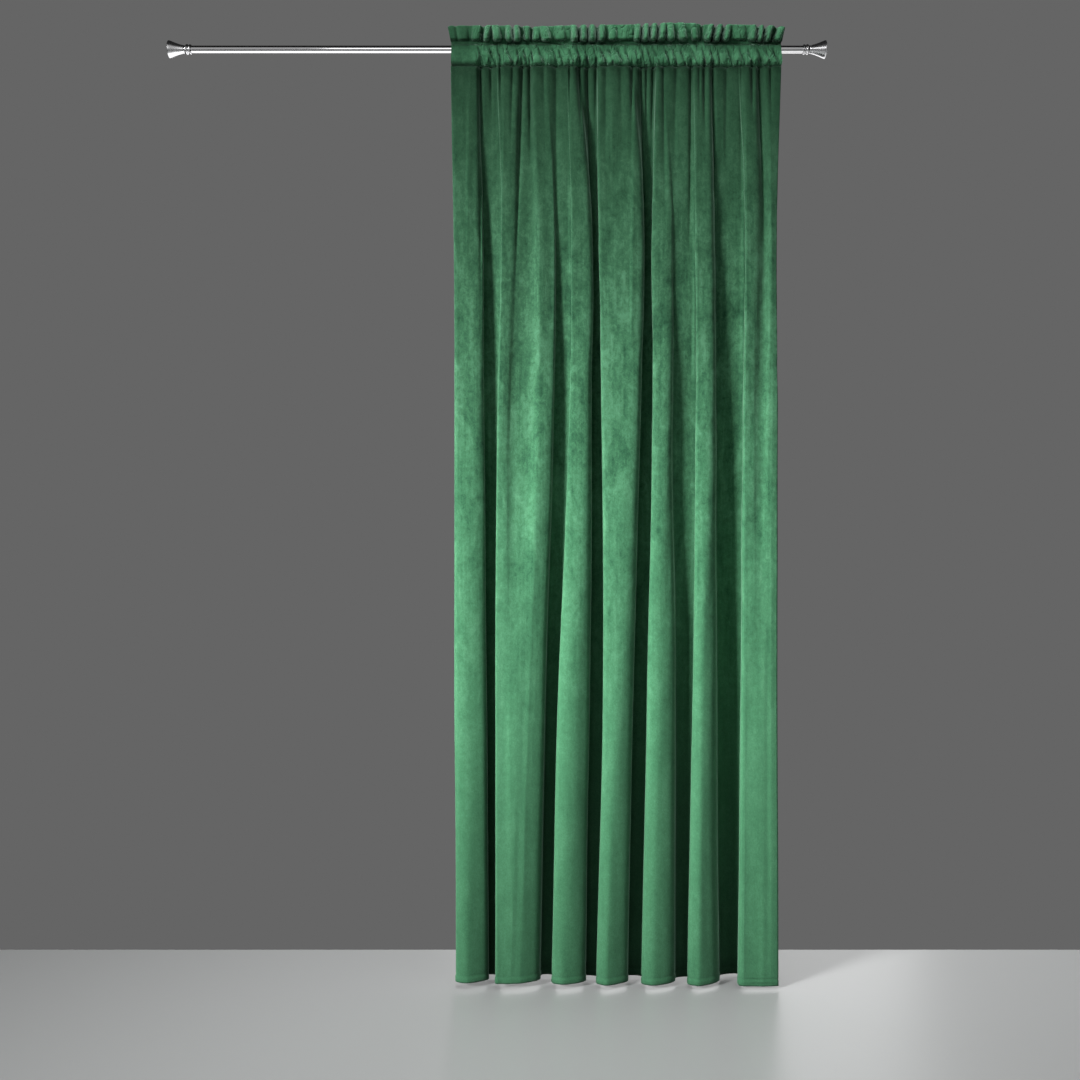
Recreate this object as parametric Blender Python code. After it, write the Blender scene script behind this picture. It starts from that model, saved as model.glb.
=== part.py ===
"""Velvet curtain gathered on a round metal rod, built as the pieces a workroom would sew and fit.

Pieces: one velvet panel that hangs in seven big folds fed by narrow tucks under the heading, one
heading made of a rod pocket with a frill above it, the rod, and at each end of the rod a collar and a
flared finial. The origin is on the rod's axis, over the middle of the curtain. +X runs to the right, +Y
points to the wall and +Z up. The tables below are in millimetres.
"""
from collections import namedtuple

import bmesh
import bpy
import numpy as np

MM = 0.001

CLOTH = 2.0

ROD_RADIUS = 9.5
ROD_LEFT = -1111.0
ROD_RIGHT = 489.0
ROD_SIDES = 24
SEAT_GAP = 0.3

FRILL_TOP = 62.0
UPPER_SEAM = 13.5
LOWER_SEAM = -46.7
HEM_DOWN = 2434.0
HEM_FALL = 4.0
HALF_WIDTH = 420.0
FRILL_SPREAD = 9.0

# Levels, as distances below the rod's axis, at which the fold table gives its edges.
LEVELS = (60.0, 396.0, 977.0, 1610.0, 2400.0)

# Y of the fold crests at each level, and how far a fold's left edge laps over the valley beside it.
CREST_Y = (-8.0, -25.0, -33.0, -36.0, -38.0)
LAP_SHARE = (0.0, 0.5, 0.85, 1.0, 1.0)
ROLL = (10.0, 12.0, 13.0, 32.0, 48.0)
ROLL_SHARE = 0.55
CORNER = 6.0
CORNER_SHARE = 0.3
SHOULDER = 0.22
VALLEY_INSET = 6.0
FLOOR_RISE = (0.0, 0.35, 0.30, 0.18, 0.15)
UNDERCUT = 0.15
LEFT_EDGE_BACK = 30.0
RIGHT_EDGE_BACK = 6.0
TOP_SET_BACK = 3.0

Fold = namedtuple("Fold", "left right valley crest tilt lap under rise")

# Each row is one fold: X of its left edge and of its right edge at the five levels, Y of the valley to
# the right of it at those levels, the share of CREST_Y that its crest reaches, the share its right side
# is set back by, how far the next fold laps over that valley, or, below 0, how gently it rises, how far
# the valley goes under this fold, and how much of FLOOR_RISE its right end, or below 0 its left end, has.
FOLDS = (
    Fold((-432, -425, -421, -422, -420), (-364, -352, -346, -338, -328), (1, 10, 27, 34, 34),
         0.95, 0.1, 24, 28, 1),
    Fold((-310, -300, -311, -316, -315), (-258, -264, -286, -290, -290), (-3, -13, -17, -36, -38),
         1, 0, -26, 0, -1),
    Fold((-218, -206, -208, -238, -268), (-182, -165, -168, -186, -202), (-4, -11, 18, 36, 38),
         0.95, 0.15, 24, 16, 0.6),
    Fold((-128, -119, -124, -150, -171), (-103, -66, -66, -68, -78), (2, 26, 36, 36, 34),
         1, 0, 26, 30, 1),
    Fold((-48, -48, -40, -36, -55), (42, 70, 60, 45, 30), (2, 28, 38, 38, 36),
         1.05, 0, 28, 24, 0.8),
    Fold((105, 93, 92, 80, 62), (124, 140, 142, 150, 152), (-3, -7, 16, 32, 32),
         1, 0, 32, 14, -1.2),
    Fold((204, 203, 204, 196, 183), (246, 252, 256, 256, 262), (0, 6, 32, 52, 54),
         1, 0, 38, 16, -0.5),
    Fold((322, 332, 326, 321, 313), (366, 366, 352, 352, 352), (-3, -10, -22, -35, -37),
         1, 0, -12, 0, -1),
    Fold((388, 396, 390, 386, 384), (430, 417, 417, 416, 418), (0, 0, 0, 0, 0),
         0.95, 0, 0, 0, 0),
)

Tuck = namedtuple("Tuck", "top low reach depth width")

# Each row is one narrow tuck running down from the heading: X where it starts and where it fades out,
# how far down it reaches, how deep it sinks and its half width.
TUCKS = (
    Tuck(-355, -353, 760, 13, 4.5),
    Tuck(-327, -325, 150, 8, 5.0),
    Tuck(-303, -300, 130, 9, 4.5),
    Tuck(-270, -276, 240, 7, 5.0),
    Tuck(-246, -265, 640, 14, 4.5),
    Tuck(-226, -222, 330, 13, 5.0),
    Tuck(-190, -186, 170, 5, 7.0),
    Tuck(-157, -154, 520, 8, 9.0),
    Tuck(-122, -121, 160, 9, 4.5),
    Tuck(-97, -92, 190, 14, 5.0),
    Tuck(-75, -62, 520, 15, 5.0),
    Tuck(-52, -52, 220, 10, 4.5),
    Tuck(-27, -30, 320, 6, 8.0),
    Tuck(12, 14, 260, 5, 8.0),
    Tuck(41, 40, 200, 13, 4.5),
    Tuck(66, 74, 480, 15, 5.0),
    Tuck(80, 82, 280, 10, 4.0),
    Tuck(98, 94, 260, 13, 5.0),
    Tuck(124, 124, 500, 8, 7.0),
    Tuck(158, 150, 300, 6, 7.0),
    Tuck(196, 190, 600, 12, 5.0),
    Tuck(217, 217, 150, 6, 4.0),
    Tuck(230, 230, 200, 15, 4.5),
    Tuck(252, 257, 800, 14, 4.5),
    Tuck(290, 284, 300, 6, 8.0),
    Tuck(326, 330, 420, 8, 6.0),
    Tuck(355, 355, 140, 13, 4.5),
    Tuck(374, 386, 520, 15, 6.0),
    Tuck(404, 404, 160, 7, 4.5),
)

Pleat = namedtuple("Pleat", "x lean width height")

# Each row is one upright pleat of the frill: its X at the seam, how far its top leans to the right, its
# half width and how far it stands forward.
PLEATS = (
    Pleat(-341, 9, 7, 10),
    Pleat(-308, -5, 8, 12),
    Pleat(-277, 0, 7, 13),
    Pleat(-258, 0, 7, 12),
    Pleat(-232, -2, 6, 8),
    Pleat(-210, 3, 8, 8),
    Pleat(-180, -9, 9, 11),
    Pleat(-144, -5, 8, 8),
    Pleat(-106, -3, 7, 13),
    Pleat(-84, 0, 7, 13),
    Pleat(-60, 0, 7, 14),
    Pleat(-37, 3, 7, 12),
    Pleat(-6, 4, 12, 6),
    Pleat(32, 4, 10, 7),
    Pleat(55, 3, 7, 14),
    Pleat(76, 2, 7, 14),
    Pleat(95, 2, 7, 13),
    Pleat(117, 6, 8, 12),
    Pleat(143, 1, 8, 12),
    Pleat(176, -4, 9, 13),
    Pleat(207, -2, 8, 9),
    Pleat(237, 12, 7, 13),
    Pleat(261, 12, 7, 13),
    Pleat(284, 8, 7, 12),
    Pleat(318, 5, 10, 7),
    Pleat(354, -5, 8, 12),
    Pleat(371, 6, 6, 12),
    Pleat(390, 8, 7, 12),
    Pleat(412, 6, 7, 9),
)

# The frill's upper edge, from left to right: X, and how far above or below FRILL_TOP it runs.
RISE_X = (-435, -424, -250, -212, -110, 20, 140, 190, 235, 345, 392, 423, 440)
RISE = (-12, -6, -6, -9, -5, -4, 1, 1, -3, -4, -6, -8, -14)

PocketRing = namedtuple("PocketRing", "seam reach rise z")

# The pocket in section, front and back, outside and inside: share of the lower seam's Y, share of the
# pocket's reach from the rod's axis, share of that reach added to the height, and the height itself.
OUTER_FRONT = (
    PocketRing(1.0, 0.07, 0.0, LOWER_SEAM),
    PocketRing(0.5, 0.5, 0.0, -31.0),
    PocketRing(0.0, 1.0, 0.0, -12.0),
    PocketRing(0.0, 1.0, 0.0, 3.0),
    PocketRing(0.0, 0.72, 0.66, 0.0),
)
OUTER_BACK = (
    PocketRing(0.0, 0.72, 0.66, 0.0),
    PocketRing(0.0, 1.0, 0.0, 0.0),
    PocketRing(0.5, 0.5, 0.0, -28.0),
    PocketRing(1.0, 0.07, 0.0, LOWER_SEAM),
)
INNER_FRONT = (
    PocketRing(1.0, 0.0, 0.0, LOWER_SEAM + 3.0),
    PocketRing(0.5, 0.5, 0.0, -30.0),
    PocketRing(0.0, 1.0, 0.0, -11.0),
    PocketRing(0.0, 1.0, 0.0, 2.0),
    PocketRing(0.0, 0.70, 0.76, 0.0),
    PocketRing(0.0, 0.0, 0.0, ROD_RADIUS + SEAT_GAP + 0.5),
)
INNER_BACK = (
    PocketRing(0.0, 0.70, 0.76, 0.0),
    PocketRing(0.0, 1.0, 0.0, 0.0),
    PocketRing(0.5, 0.5, 0.0, -27.0),
)
POCKET_EASE = 3.0
PUFF = 7.0
PUFF_LOST = 0.55
TUCK_LIMIT = 12.5

FrillRing = namedtuple("FrillRing", "up pleat thick")

# The frill in section, from its seam up: share of its height, share of the pleats' height and share of
# the cloth's thickness on each side.
FRILL_RINGS = (
    FrillRing(0.0, 0.55, 1.0),
    FrillRing(0.33, 1.0, 1.0),
    FrillRing(0.91, 1.0, 1.0),
    FrillRing(1.0, 1.0, 0.0),
)
FRILL_Y = 3.0
FRILL_SPREAD_FROM = 380.0
FRILL_SPREAD_OVER = 50.0

PANEL_ROWS = (47, 62, 90, 140, 220, 340, 520, 780, 1120, 1520, 1960, HEM_DOWN)
TOP_PITCH = 5.2
HEM_PITCH = 15.0
HEADING_PITCH = 7.4

MATERIALS = {
    "velvet": ((0.045, 0.165, 0.075), 0.85, 0.0),
    "steel": ((0.62, 0.62, 0.63), 0.25, 1.0),
}


def clear_scene():
    """Empties the scene."""
    for obj in list(bpy.data.objects):
        bpy.data.objects.remove(obj)


def make_materials():
    """One Principled material for each finish."""
    made = {}
    for name, (colour, roughness, metallic) in MATERIALS.items():
        material = bpy.data.materials.new(name)
        material.use_nodes = True
        shader = material.node_tree.nodes["Principled BSDF"]
        shader.inputs["Base Color"].default_value = (*colour, 1.0)
        shader.inputs["Roughness"].default_value = roughness
        shader.inputs["Metallic"].default_value = metallic
        made[name] = material
    return made


def at_level(values, down):
    """A smooth curve through a table row's values, read at a distance below the rod."""
    levels, values = np.array(LEVELS), np.array(values, float)
    slopes = np.gradient(values, levels)
    down = min(max(down, levels[0]), levels[-1])
    i = min(int(np.searchsorted(levels, down, side="right")) - 1, len(levels) - 2)
    span = levels[i + 1] - levels[i]
    t = (down - levels[i]) / span
    ease = 3 * t**2 - 2 * t**3
    bend = slopes[i] * (t**3 - 2 * t**2 + t) + slopes[i + 1] * (t**3 - t**2)
    return values[i] + (values[i + 1] - values[i]) * ease + bend * span


def fold_polygon(down):
    """Control points, seen from above, that the cloth's section follows at one height.

    Each fold runs level across its crest, turns back at its right edge, crosses the valley's floor and
    comes forward again under the next fold's left edge, which overhangs that floor by the lap.
    """
    crest_y = at_level(CREST_Y, down)
    share = at_level(LAP_SHARE, down)
    first, last = FOLDS[0], FOLDS[-1]
    points = [(at_level(first.left, down) + 2, crest_y + LEFT_EDGE_BACK * share)]
    for i, fold in enumerate(FOLDS):
        left, right = at_level(fold.left, down), at_level(fold.right, down)
        corner = min(CORNER, CORNER_SHARE * (right - left))
        roll = min(at_level(ROLL, down), ROLL_SHARE * (right - left))
        front = crest_y * fold.crest
        points += [(left, front), (left + corner, front), (right - roll, front * (1 - fold.tilt))]
        if fold is not last:
            back = at_level(fold.valley, down)
            after = at_level(FOLDS[i + 1].left, down)
            inset = min(VALLEY_INSET, 0.2 * (after - right))
            lap = fold.lap * share
            rise = at_level(FLOOR_RISE, down) * (back - front) * fold.rise
            points.append((right + inset * share, front + SHOULDER * (back - front)))
            foot = right + 2 * inset - fold.under * share
            end = max(after + lap - inset * (1 - share), foot + inset)
            points += [(foot, back + min(rise, 0)), (end, back - max(rise, 0))]
            points.append((after + UNDERCUT * lap, 0.5 * (back - max(rise, 0) + front)))
    points.append((at_level(last.right, down), crest_y + RIGHT_EDGE_BACK * share))
    return np.array(points)


def spline(points, places):
    """A uniform cubic B-spline that starts and ends on its first and last control point."""
    padded = np.vstack([2 * points[0] - points[1], points, 2 * points[-1] - points[-2]])
    i = np.clip(places.astype(int), 0, len(points) - 2)
    t = (places - i)[:, None]
    weights = ((1 - t) ** 3, 3 * t**3 - 6 * t**2 + 4, -3 * t**3 + 3 * t**2 + 3 * t + 1, t**3)
    return sum(w * padded[i + k] for k, w in enumerate(weights)) / 6


def tuck_depth(x, down):
    """How far the tucks push the cloth back at each X."""
    depth = np.zeros_like(x)
    for tuck in TUCKS:
        share = min(max((down - LEVELS[0]) / tuck.reach, 0), 1)
        centre = tuck.top + (tuck.low - tuck.top) * share
        fade = 1 - (3 * share**2 - 2 * share**3)
        depth += tuck.depth * fade * np.exp(-(((x - centre) / tuck.width) ** 2))
    return depth


def cloth_section(down, places):
    """X and Y of the cloth's middle surface at one height."""
    section = spline(fold_polygon(down), places)
    section[:, 1] += tuck_depth(section[:, 0], down) - TOP_SET_BACK * (1 - at_level(LAP_SHARE, down))
    return section


def column_places(top_pitch, hem_pitch):
    """Places along the section, closer together where it bends under the heading or in the folds."""
    last = len(fold_polygon(LEVELS[0])) - 1
    fine = np.linspace(0, last, 4000)
    need = np.zeros(len(fine) - 1)
    for down, pitch in ((LEVELS[0], top_pitch), (LEVELS[-1], hem_pitch)):
        steps = np.diff(spline(fold_polygon(down), fine), axis=0)
        need = np.maximum(need, np.hypot(steps[:, 0], steps[:, 1]) / pitch)
    total = np.concatenate([[0], np.cumsum(need)])
    return np.interp(np.linspace(0, total[-1], int(total[-1]) + 1), total, fine)


def add_object(name, points, faces, material):
    """Adds a mesh object, given in millimetres, with its faces turned outward."""
    mesh = bpy.data.meshes.new(name)
    mesh.from_pydata([[c * MM for c in p] for p in points], [], faces)
    mesh.materials.append(material)
    obj = bpy.data.objects.new(name, mesh)
    bpy.context.scene.collection.objects.link(obj)
    work = bmesh.new()
    work.from_mesh(mesh)
    bmesh.ops.recalc_face_normals(work, faces=work.faces)
    work.to_mesh(mesh)
    work.free()
    mesh.shade_smooth()
    mesh.set_sharp_from_angle(angle=0.7)
    return obj


def grid_faces(columns, rows):
    """Quads of a sheet whose points run row by row."""
    return [
        (r * columns + c, r * columns + c + 1, (r + 1) * columns + c + 1, (r + 1) * columns + c)
        for r in range(rows - 1)
        for c in range(columns - 1)
    ]


def build_panel(material):
    """The hanging velvet: its folded middle surface, thickened to the cloth."""
    places = column_places(TOP_PITCH, HEM_PITCH)
    points = []
    for down in PANEL_ROWS:
        section = cloth_section(down, places)
        fall = HEM_FALL * section[:, 0] / HALF_WIDTH * (down - PANEL_ROWS[0]) / HEM_DOWN
        points += [(x, y, -down - f) for (x, y), f in zip(section, fall)]
    panel = add_object("curtain_panel", points, grid_faces(len(places), len(PANEL_ROWS)), material)
    thick = panel.modifiers.new("cloth", "SOLIDIFY")
    thick.thickness = CLOTH * MM
    thick.offset = 0
    return panel


def pleat_height(x, up):
    """How far the frill's pleats stand forward at each X, at a share of the frill's height."""
    height = np.zeros_like(x)
    for pleat in PLEATS:
        centre = pleat.x + pleat.lean * up
        height += pleat.height * np.exp(-(((x - centre) / pleat.width) ** 2))
    return height


def pocket_rings(rings, x, seam_y, reach):
    """Points of the pocket's rings over the columns; a reach below 0 goes forward."""
    return [
        np.stack([x, r.seam * seam_y + r.reach * reach, r.rise * np.abs(reach) + r.z], axis=1) for r in rings
    ]


def frill_loop(x, top, spread):
    """Points of the frill's rings over the columns: up its front, over its top edge and down its back."""
    front, back = [], []
    for ring in FRILL_RINGS:
        y = FRILL_Y - ring.pleat * pleat_height(x, ring.up)
        z = UPPER_SEAM + ring.up * (top - UPPER_SEAM)
        for side, rings in ((-1, front), (1, back)):
            rings.append(np.stack([x + spread * ring.up, y + side * ring.thick * CLOTH, z], axis=1))
    return front + back[-2::-1]


def build_heading(material):
    """The top of the curtain: a pocket round the rod, sewn above and below it, with a frill on top."""
    places = column_places(HEADING_PITCH, 1e6)
    seam = cloth_section(LEVELS[0], places)
    x, seam_y = seam[:, 0], seam[:, 1]
    puff = PUFF - PUFF_LOST * np.minimum(tuck_depth(x, LEVELS[0]), TUCK_LIMIT)
    front, back = -(ROD_RADIUS + POCKET_EASE + puff), ROD_RADIUS + POCKET_EASE + 0.5 * puff
    top = FRILL_TOP + np.interp(x, RISE_X, RISE)
    spread = FRILL_SPREAD * np.sign(x) * np.clip((np.abs(x) - FRILL_SPREAD_FROM) / FRILL_SPREAD_OVER, 0, 1)
    outer = pocket_rings(OUTER_FRONT, x, seam_y, front) + frill_loop(x, top, spread)
    outer += pocket_rings(OUTER_BACK, x, seam_y, back)
    inner = pocket_rings(INNER_FRONT, x, seam_y, front + CLOTH)
    inner += pocket_rings(INNER_BACK, x, seam_y, back - CLOTH)
    points, faces, loops = [], [], []
    for rings in (outer, inner):
        starts = [len(points) + k * len(x) for k in range(len(rings))]
        points += np.concatenate(rings).tolist()
        for one, two in zip(starts, starts[1:] + starts[:1]):
            faces += [(one + c, two + c, two + c + 1, one + c + 1) for c in range(len(x) - 1)]
        loops.append(starts)
    for column in (0, len(x) - 1):
        faces += end_faces(*([start + column for start in starts] for starts in loops))
    return add_object("heading", points, faces, material)


def end_faces(outer, inner):
    """Closes one end of the heading between its outer and inner loops."""
    pairs = [(0, 0), (1, 1), (2, 2), (3, 3), (4, 4), (5, 5), (11, 5), (12, 6), (13, 7), (14, 8), (15, 0)]
    faces = [(outer[5], outer[6], outer[10], outer[11]), (outer[6], outer[7], outer[9], outer[10])]
    faces.append((outer[7], outer[8], outer[9]))
    for (a, b), (c, d) in zip(pairs, pairs[1:]):
        corners = (outer[a], outer[c], inner[d], inner[b]) if b != d else (outer[a], outer[c], inner[b])
        faces.append(corners)
    faces.append((outer[15], outer[0], inner[0]))
    return faces


def build_turned(name, profile, start, way, material):
    """A turned piece on the rod's axis: profile holds distances along it and radii, closed on the axis."""
    count = ROD_SIDES
    angles = [2 * np.pi * k / count for k in range(count)]
    points, rings = [], []
    for along, radius in profile:
        x = start + way * along
        if radius == 0:
            rings.append([len(points)])
            points.append((x, 0, 0))
        else:
            rings.append(list(range(len(points), len(points) + count)))
            points += [(x, radius * np.cos(a), radius * np.sin(a)) for a in angles]
    faces = []
    for one, two in zip(rings, rings[1:]):
        for k in range(count):
            j = (k + 1) % count
            if len(one) == 1:
                faces.append((one[0], two[k], two[j]))
            elif len(two) == 1:
                faces.append((one[k], one[j], two[0]))
            else:
                faces.append((one[k], one[j], two[j], two[k]))
    return add_object(name, points, faces, material)


ROD_PROFILE = ((0, 0), (0, ROD_RADIUS), (ROD_RIGHT - ROD_LEFT, ROD_RADIUS), (ROD_RIGHT - ROD_LEFT, 0))
COLLAR_PROFILE = (
    (0, 0), (0, 11.5), (1.0, 12.5), (4.0, 12.5), (5.2, 10.6), (8.0, 10.6), (9.2, 13.0), (12.5, 13.0),
    (13.8, 10.8), (17.0, 10.0), (17.0, 0),
)
FINIAL_PROFILE = (
    (0, 0), (0, 9.2), (2.0, 10.4), (8.0, 11.6), (18.0, 14.6), (28.0, 18.2), (36.0, 21.4), (39.5, 22.4),
    (41.0, 22.0), (41.0, 19.5), (36.0, 16.0), (32.0, 0),
)


def main():
    clear_scene()
    materials = make_materials()
    velvet, steel = materials["velvet"], materials["steel"]
    build_panel(velvet)
    build_heading(velvet)
    build_turned("rod", ROD_PROFILE, ROD_LEFT, 1, steel)
    for side, end, way in (("left", ROD_LEFT, -1), ("right", ROD_RIGHT, 1)):
        collar_start = end + way * SEAT_GAP
        finial_start = collar_start + way * (COLLAR_PROFILE[-1][0] + SEAT_GAP)
        build_turned(f"collar_{side}", COLLAR_PROFILE, collar_start, way, steel)
        build_turned(f"finial_{side}", FINIAL_PROFILE, finial_start, way, steel)


main()
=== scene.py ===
"""Looks of the velvet curtain on its rod: fine folds, gathers, hem and heading, velvet, chrome and light.

Lengths in the tables are millimetres, and the finished meshes are metres. Down is a distance below the
rod's axis. The folds and tucks are those of the part itself, drawn here on a finer mesh.
"""
from collections import namedtuple

import bmesh
import bpy
import numpy as np
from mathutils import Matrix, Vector, noise

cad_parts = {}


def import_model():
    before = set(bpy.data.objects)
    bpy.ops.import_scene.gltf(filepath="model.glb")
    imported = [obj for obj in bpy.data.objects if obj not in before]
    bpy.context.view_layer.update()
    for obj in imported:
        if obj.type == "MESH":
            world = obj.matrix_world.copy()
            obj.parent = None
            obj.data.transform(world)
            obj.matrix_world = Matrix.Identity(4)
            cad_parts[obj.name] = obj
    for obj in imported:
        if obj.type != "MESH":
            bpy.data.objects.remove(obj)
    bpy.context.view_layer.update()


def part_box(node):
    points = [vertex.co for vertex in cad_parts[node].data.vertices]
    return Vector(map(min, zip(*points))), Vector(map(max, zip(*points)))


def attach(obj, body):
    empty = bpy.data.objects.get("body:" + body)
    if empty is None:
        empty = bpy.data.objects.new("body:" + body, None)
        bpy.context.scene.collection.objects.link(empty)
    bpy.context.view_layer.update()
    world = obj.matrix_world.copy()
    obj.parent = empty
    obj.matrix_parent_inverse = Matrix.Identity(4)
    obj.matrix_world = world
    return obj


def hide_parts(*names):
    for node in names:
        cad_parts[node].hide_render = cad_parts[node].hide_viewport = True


MM = 0.001
BODY = "root"

CLOTH = 1.8
HALF_WIDTH = 420.0
UPPER_SEAM = 11.0
LOWER_SEAM = -46.7
FRILL_TOP = 62.0
HEM_DOWN = 2434.0
HEM_FALL = 4.0

# Levels, as distances below the rod's axis, at which the fold table gives its edges.
LEVELS = (60.0, 396.0, 977.0, 1610.0, 2400.0)

# Y of the fold crests at each level, and how far a fold's left edge laps over the valley beside it.
CREST_Y = (-8.0, -25.0, -33.0, -36.0, -38.0)
LAP_SHARE = (0.0, 0.5, 0.85, 1.0, 1.0)

# How wide the roll at a fold's right edge and the corner at its left edge are, at each level and as the
# largest share of the fold.
ROLL = (10.0, 12.0, 13.0, 32.0, 48.0)
ROLL_SHARE = 0.55
CORNER = (6.0, 6.0, 8.0, 12.0, 16.0)
CORNER_SHARE = 0.3

# How far a fold's left edge falls back from its crest, and how far its middle stands in front of it. Both
# are full beside a deep valley on a wide fold, and nothing on a fold as narrow as NARROW.
EDGE_FALL = (0.0, 1.0, 3.0, 6.0, 9.0)
CORNER_FALL = 0.15
DOME = (0.0, 0.5, 1.5, 2.5, 3.5)
FULL_VALLEY = 40.0
NARROW = 25.0
FULL_WIDTH = 70.0

# Shares of the valley's depth at which a fold's right edge stands, and where the turn before it lies on
# the way from the shoulder, across and back.
SHOULDER = 0.22
EDGE_DROP = (0.0, 0.03, 0.08, 0.15, 0.26)
TURN_ACROSS = 0.6
TURN_BACK = 0.4

VALLEY_INSET = 6.0
INSET_SHARE = 0.2
FLOOR_RISE = (0.0, 0.35, 0.30, 0.18, 0.15)
UNDERCUT = 0.15
LEFT_EDGE_IN = 2.0
LEFT_EDGE_BACK = 30.0
RIGHT_EDGE_BACK = 6.0
TOP_SET_BACK = 3.0

Fold = namedtuple("Fold", "left right valley crest tilt lap under rise")

# Each row is one fold: X of its left edge and of its right edge at the five levels, Y of the valley to
# the right of it at those levels, the share of CREST_Y that its crest reaches, the share its right side
# is set back by, how far the next fold laps over that valley, or, below 0, how gently it rises, how far
# the valley goes under this fold, and how much of FLOOR_RISE its right end, or below 0 its left end, has.
FOLDS = (
    Fold((-432, -425, -421, -422, -420), (-364, -352, -346, -338, -328), (1, 10, 27, 34, 34),
         0.95, 0.1, 24, 28, 1),
    Fold((-310, -300, -311, -316, -315), (-258, -264, -286, -290, -290), (-3, -13, -17, -36, -38),
         1, 0, -26, 0, -1),
    Fold((-218, -206, -208, -238, -268), (-182, -165, -168, -186, -202), (-4, -11, 18, 36, 38),
         0.95, 0.15, 24, 16, 0.6),
    Fold((-128, -119, -124, -150, -171), (-103, -66, -66, -68, -78), (2, 26, 36, 36, 34),
         1, 0, 26, 30, 1),
    Fold((-48, -48, -40, -36, -55), (42, 70, 60, 45, 30), (2, 28, 38, 38, 36),
         1.05, 0, 28, 24, 0.8),
    Fold((105, 93, 92, 80, 62), (124, 140, 142, 150, 152), (-3, -7, 16, 32, 32),
         1, 0, 32, 14, -1.2),
    Fold((204, 203, 204, 196, 183), (246, 252, 256, 261, 270), (0, 6, 32, 52, 54),
         1, 0, 38, 16, -0.5),
    Fold((322, 332, 326, 321, 313), (366, 366, 352, 352, 352), (-3, -10, -22, -35, -37),
         1, 0, -12, 0, -1),
    Fold((388, 396, 390, 386, 384), (430, 417, 417, 416, 418), (0, 0, 0, 0, 0),
         0.95, 0, 0, 0, 0),
)

Tuck = namedtuple("Tuck", "top low reach depth width")

# Each row is one narrow tuck running down from the heading: X where it starts and where it fades out,
# how far down it reaches, how deep it sinks and its half width.
TUCKS = (
    Tuck(-355, -353, 760, 13, 4.5),
    Tuck(-327, -325, 150, 8, 5.0),
    Tuck(-303, -300, 130, 9, 4.5),
    Tuck(-270, -276, 240, 7, 5.0),
    Tuck(-246, -265, 640, 14, 4.5),
    Tuck(-226, -222, 330, 13, 5.0),
    Tuck(-190, -186, 170, 5, 7.0),
    Tuck(-157, -154, 520, 8, 9.0),
    Tuck(-122, -121, 160, 9, 4.5),
    Tuck(-97, -92, 190, 14, 5.0),
    Tuck(-75, -62, 520, 15, 5.0),
    Tuck(-52, -52, 220, 10, 4.5),
    Tuck(-27, -30, 320, 6, 8.0),
    Tuck(12, 14, 260, 5, 8.0),
    Tuck(41, 40, 200, 13, 4.5),
    Tuck(66, 74, 480, 15, 5.0),
    Tuck(80, 82, 280, 10, 4.0),
    Tuck(98, 94, 260, 13, 5.0),
    Tuck(124, 124, 500, 8, 7.0),
    Tuck(158, 150, 300, 6, 7.0),
    Tuck(196, 190, 600, 12, 5.0),
    Tuck(217, 217, 150, 6, 4.0),
    Tuck(230, 230, 200, 15, 4.5),
    Tuck(252, 257, 800, 14, 4.5),
    Tuck(290, 284, 300, 6, 8.0),
    Tuck(326, 330, 420, 8, 6.0),
    Tuck(355, 355, 140, 13, 4.5),
    Tuck(374, 386, 520, 15, 6.0),
    Tuck(404, 404, 160, 7, 4.5),
)

TUCK_POINT = 1.3

Ridge = namedtuple("Ridge", "top low start stop height")

# Each row is one thin upright ridge, where the pile catches the light along a sharp fold: its X where it
# starts and where it stops, the distances down of both, and how far it stands forward.
RIDGES = (
    Ridge(-383, -388, 70, 560, 2.5),
    Ridge(-309, -309, 60, 260, 3.5),
    Ridge(-292, -303, 130, 900, 3.0),
    Ridge(-217, -204, 60, 700, 3.5),
    Ridge(-118, -120, 130, 950, 3.0),
    Ridge(-87, -72, 50, 230, 3.5),
    Ridge(-47, -46, 50, 800, 2.5),
    Ridge(-13, -11, 60, 300, 2.5),
    Ridge(47, 36, 90, 800, 2.5),
    Ridge(85, 86, 50, 300, 3.0),
    Ridge(107, 92, 60, 420, 2.5),
    Ridge(156, 160, 60, 280, 2.5),
    Ridge(205, 205, 110, 900, 3.0),
    Ridge(278, 280, 110, 300, 2.5),
    Ridge(338, 332, 90, 900, 3.0),
    Ridge(399, 402, 160, 620, 3.0),
)
RIDGE_FACE = 3.6
RIDGE_SLOPE = 13.0
RIDGE_FADE = 70.0

Wave = namedtuple("Wave", "across down seed height")

# Slow unevenness of hanging cloth, mostly upright: how long its dents are across and down, where its
# noise is read, and how high it is. It starts under the heading and is full a little lower.
WAVES = (
    Wave(70, 620, 3.1, 2.4),
    Wave(26, 380, 8.7, 1.1),
)
RELIEF_START = 50.0
RELIEF_FULL = 260.0

# The folded hem, its stitch line and the ripples in its right part, by X and by height above the hem.
HEM_FOLD = 17.0
HEM_STEP = 2.0
STITCH_IN = 1.6
STITCH_WIDTH = 2.5
RIPPLE_OUT = 1.8
RIPPLE_TURN = 0.62
RIPPLE_ALONG = (372.0, 34.0)
RIPPLE_ABOVE = (14.0, 16.0)

Pleat =namedtuple("Pleat", "x lean width height")

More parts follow.
